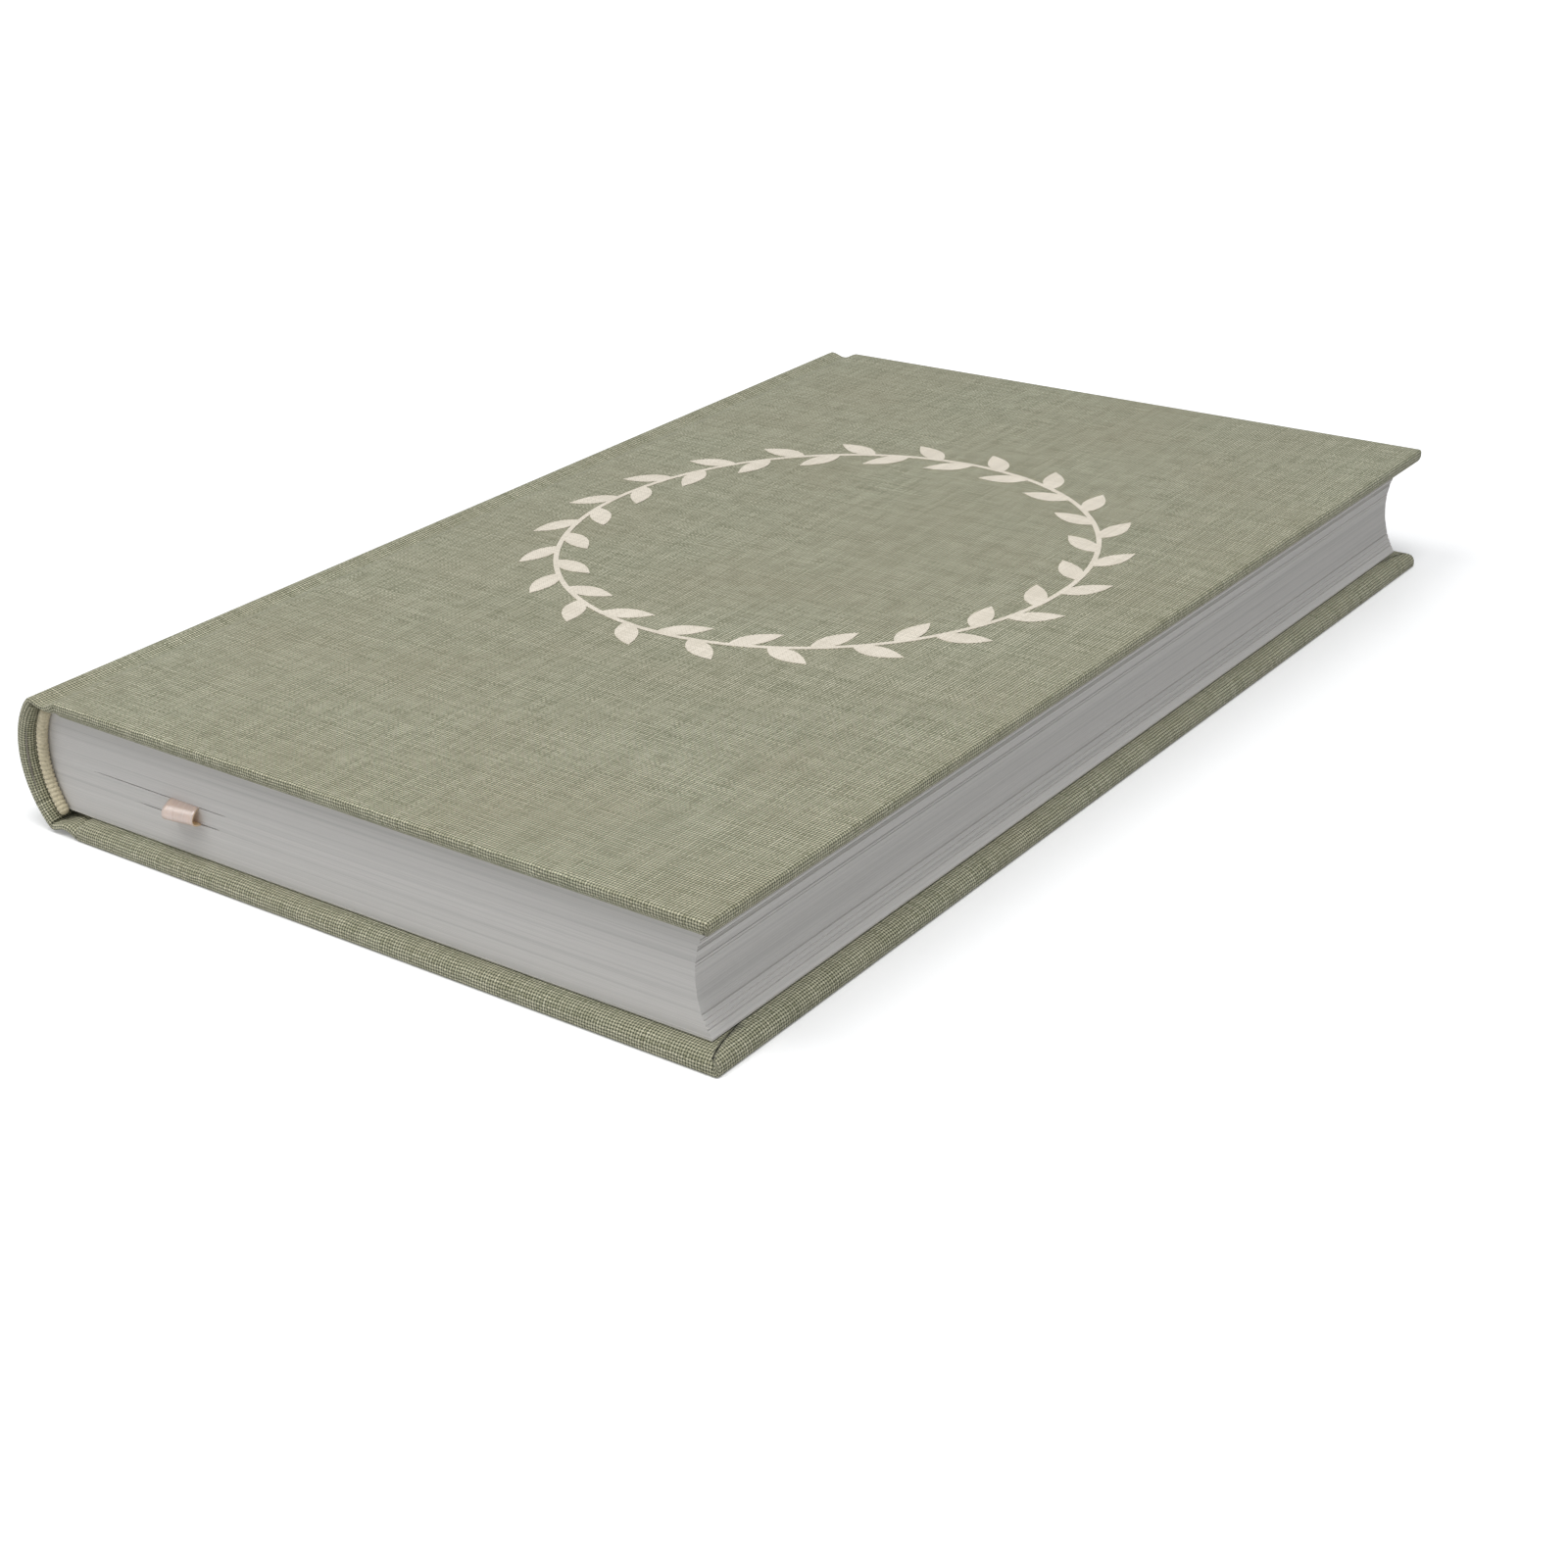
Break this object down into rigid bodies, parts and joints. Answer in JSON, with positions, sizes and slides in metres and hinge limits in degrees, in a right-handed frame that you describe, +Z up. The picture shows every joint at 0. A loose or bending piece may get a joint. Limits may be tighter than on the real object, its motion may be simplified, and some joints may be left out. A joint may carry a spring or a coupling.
{
  "type": "clothbound hardback book",
  "caption": "Clothbound hardback book, closed and lying flat, with a rounded spine, hollow fore-edge, ribbon marker, woven end bands and covers that open.",
  "frame": {"origin": "middle of the book's footprint, on the face of the back cover that it lies on", "axes": "+Z up through the front cover, +Y from tail to head along the spine, +X from the spine to the fore-edge"},
  "size_m": [0.1494, 0.229, 0.0258],
  "materials": {
    "cloth": "plain-weave linen in two close tones of sage green, matt",
    "board": "grey bookbinder's board, hidden under the cloth",
    "pages": "cut edges of uncoated off-white paper",
    "endpaper": "plain uncoated off-white paper",
    "band": "cream thread wound over a core",
    "mull": "open cotton gauze set in glue",
    "lining": "brown kraft paper",
    "ribbon": "pale peach satin",
    "stamp": "cream pigment foil pressed into the cloth"
  },
  "bodies": {
    "block": {"page_block": "pages", "front_flyleaf": "endpaper", "back_flyleaf": "endpaper", "headband": "band", "tailband": "band", "spine_mull": "mull", "spine_lining": "lining", "ribbon_marker": "ribbon", "spine_inlay": "board", "spine_cloth": "cloth"},
    "front_cover": {"front_board": "board", "front_cloth": "cloth", "front_pastedown": "endpaper", "cover_ornament": "stamp"},
    "back_cover": {"back_board": "board", "back_cloth": "cloth", "back_pastedown": "endpaper"}
  },
  "joints": [
    {"name": "front_joint", "type": "hinge", "parent": "block", "child": "front_cover", "pos_m": [-0.06937, 0, 0.0223], "axis": [0, -1, 0], "range_deg": [0, 180]},
    {"name": "back_joint", "type": "hinge", "parent": "block", "child": "back_cover", "pos_m": [-0.06943, 0, 0.00345], "axis": [0, 1, 0], "range_deg": [0, 180]}
  ]
}
